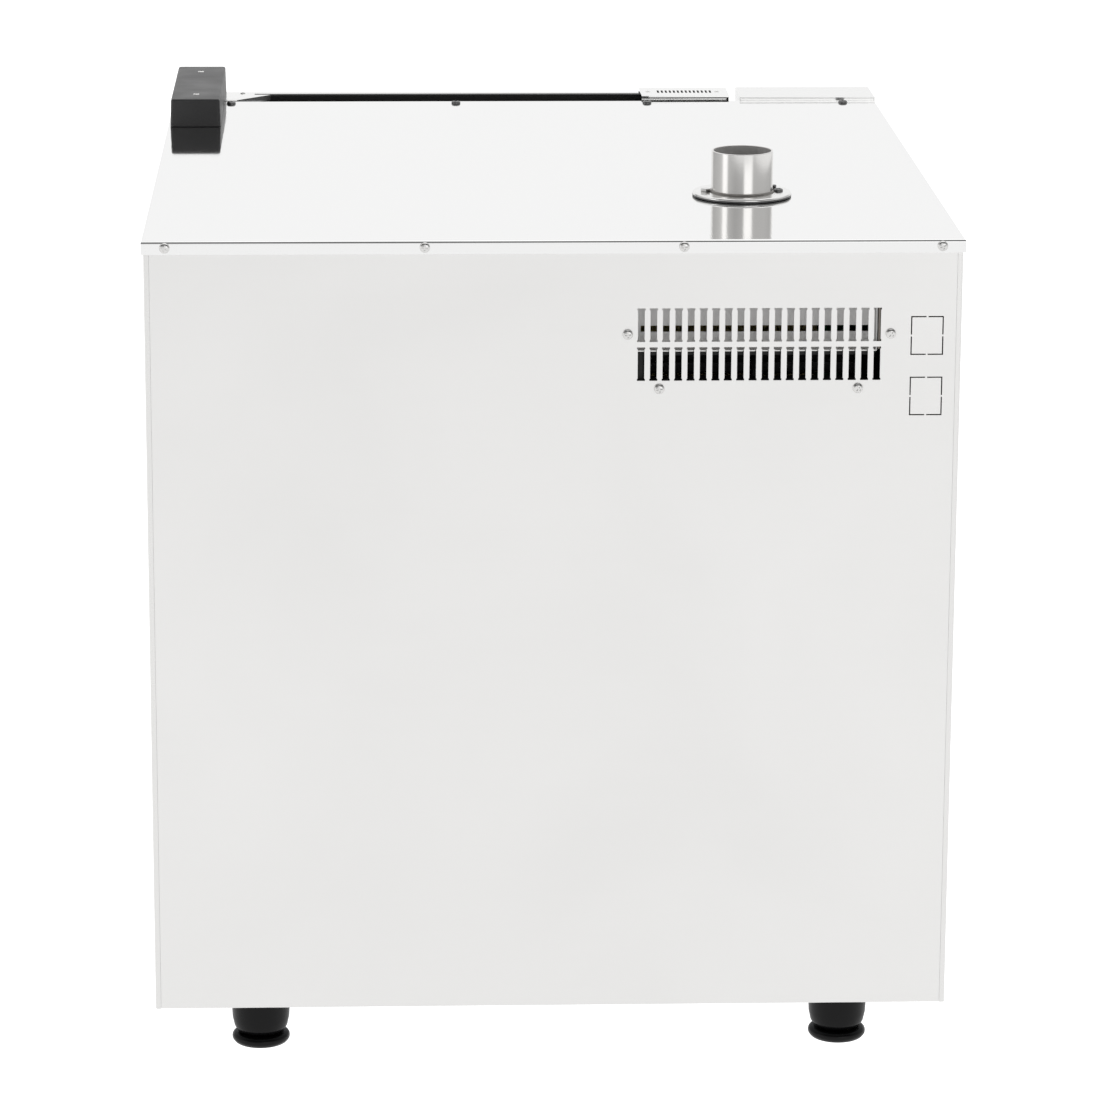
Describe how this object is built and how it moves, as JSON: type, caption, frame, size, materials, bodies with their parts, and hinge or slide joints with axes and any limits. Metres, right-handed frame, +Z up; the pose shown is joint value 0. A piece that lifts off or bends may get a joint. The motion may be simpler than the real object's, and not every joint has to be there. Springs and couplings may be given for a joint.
{
  "type": "countertop combination steam oven",
  "caption": "Stainless countertop combination steam oven with a side-hinged glass door, control column, levelling feet and a round steam flue.",
  "frame": {"origin": "on the floor, under the middle of the whole object", "axes": "+Z up; the door faces -Y, the vented rear panel faces +Y, the door's hinges are at +X"},
  "size_m": [0.6, 0.7372, 0.661],
  "materials": {
    "stainless": "satin stainless sheet",
    "polished_steel": "polished stainless",
    "chamber_steel": "plain stainless sheet",
    "galvanised_steel": "zinc coated steel",
    "screw_steel": "bright screw",
    "black_plastic": "satin black moulding",
    "foot_plastic": "smooth black moulding",
    "gasket_rubber": "matt silicone",
    "dark_glass": "tinted toughened glass",
    "clear_glass": "clear toughened glass",
    "mineral_wool": "mineral wool",
    "circuit_board": "soldered board",
    "brass": "machined brass"
  },
  "bodies": {
    "cabinet": {"oven_chamber": "chamber_steel", "insulation_jacket": "mineral_wool", "left_tray_rack": "polished_steel", "right_tray_rack": "polished_steel", "wire_shelf_lower": "polished_steel", "wire_shelf_upper": "polished_steel", "fan_baffle": "polished_steel", "fan_motor": "galvanised_steel", "heating_element": "galvanised_steel", "water_valve": "brass", "steam_injector": "polished_steel", "drain_pipe": "polished_steel", "cable_gland": "black_plastic", "top_cover": "stainless", "rear_panel": "stainless", "left_side_panel": "stainless", "right_side_panel": "stainless", "base_pan": "galvanised_steel", "front_frame": "stainless", "strike_plate": "galvanised_steel", "door_gasket": "gasket_rubber", "rear_cover_screws": "screw_steel", "front_cover_screws": "screw_steel", "vent_screws": "screw_steel", "vent_deflector": "galvanised_steel", "blower_housing": "black_plastic", "power_board": "circuit_board", "flue_tube": "polished_steel", "flue_flange": "polished_steel", "damper_motor": "black_plastic", "hinge_cover": "black_plastic", "top_hinge": "galvanised_steel", "bottom_hinge": "galvanised_steel", "control_housing": "stainless", "control_glass": "dark_glass", "control_board": "circuit_board", "foot_sleeve_front_left": "foot_plastic", "foot_sleeve_front_right": "foot_plastic", "foot_sleeve_rear_left": "foot_plastic", "foot_sleeve_rear_right": "foot_plastic"},
    "door": {"door_frame": "stainless", "door_vent_plate": "stainless", "door_hinge_plate": "stainless", "door_outer_glass": "dark_glass", "door_inner_frame": "black_plastic", "door_inner_glass": "clear_glass", "handle_boss": "black_plastic"},
    "door_lever": {"door_handle": "black_plastic", "latch_spindle": "galvanised_steel"},
    "convection_fan": {"convection_fan": "polished_steel"},
    "blower_wheel": {"blower_wheel": "black_plastic"},
    "flue_damper": {"damper_disc": "polished_steel"},
    "encoder_shaft": {"encoder_shaft": "galvanised_steel"},
    "encoder_knob": {"encoder_knob": "black_plastic"},
    "power_button": {"power_button": "black_plastic"},
    "drip_tray": {"drip_tray": "stainless"},
    "foot_pad_front_left": {"foot_pad_front_left": "foot_plastic"},
    "foot_pad_front_right": {"foot_pad_front_right": "foot_plastic"},
    "foot_pad_rear_left": {"foot_pad_rear_left": "foot_plastic"},
    "foot_pad_rear_right": {"foot_pad_rear_right": "foot_plastic"}
  },
  "joints": [
    {"name": "door_hinge", "type": "hinge", "parent": "cabinet", "child": "door", "pos_m": [0.284, -0.30075, 0.038], "axis": [0, 0, 1], "range_deg": [0, 120]},
    {"name": "lever_turn", "type": "hinge", "parent": "door", "child": "door_lever", "pos_m": [-0.145, -0.32565, 0.4202], "axis": [0, -1, 0], "range_deg": [0, 90]},
    {"name": "convection_fan_spin", "type": "hinge", "parent": "cabinet", "child": "convection_fan", "pos_m": [-0.1655, -0.00005, 0.3285], "axis": [1, 0, 0], "continuous": true},
    {"name": "blower_spin", "type": "hinge", "parent": "cabinet", "child": "blower_wheel", "pos_m": [-0.15, 0.32355, 0.512], "axis": [1, 0, 0], "continuous": true},
    {"name": "damper_turn", "type": "hinge", "parent": "cabinet", "child": "flue_damper", "pos_m": [-0.15, 0.18435, 0.596], "axis": [1, 0, 0], "range_deg": [0, 90]},
    {"name": "encoder_push", "type": "slide", "parent": "cabinet", "child": "encoder_shaft", "axis": [0, 1, 0], "range_m": [0, 0.0015], "stiffness_N_per_m": 500, "springref_m": -0.004},
    {"name": "encoder_turn", "type": "hinge", "parent": "encoder_shaft", "child": "encoder_knob", "pos_m": [-0.242, -0.33465, 0.214], "axis": [0, 1, 0], "continuous": true},
    {"name": "power_button_push", "type": "slide", "parent": "cabinet", "child": "power_button", "axis": [0, 1, 0], "range_m": [0, 0.0025], "stiffness_N_per_m": 350, "springref_m": -0.004},
    {"name": "drip_tray_slide", "type": "slide", "parent": "cabinet", "child": "drip_tray", "axis": [0, -1, 0], "range_m": [0, 0.06]},
    {"name": "foot_front_left_thread", "type": "slide", "parent": "cabinet", "child": "foot_pad_front_left", "axis": [0, 0, -1], "range_m": [0, 0.012]},
    {"name": "foot_front_right_thread", "type": "slide", "parent": "cabinet", "child": "foot_pad_front_right", "axis": [0, 0, -1], "range_m": [0, 0.012]},
    {"name": "foot_rear_left_thread", "type": "slide", "parent": "cabinet", "child": "foot_pad_rear_left", "axis": [0, 0, -1], "range_m": [0, 0.012]},
    {"name": "foot_rear_right_thread", "type": "slide", "parent": "cabinet", "child": "foot_pad_rear_right", "axis": [0, 0, -1], "range_m": [0, 0.012]}
  ]
}
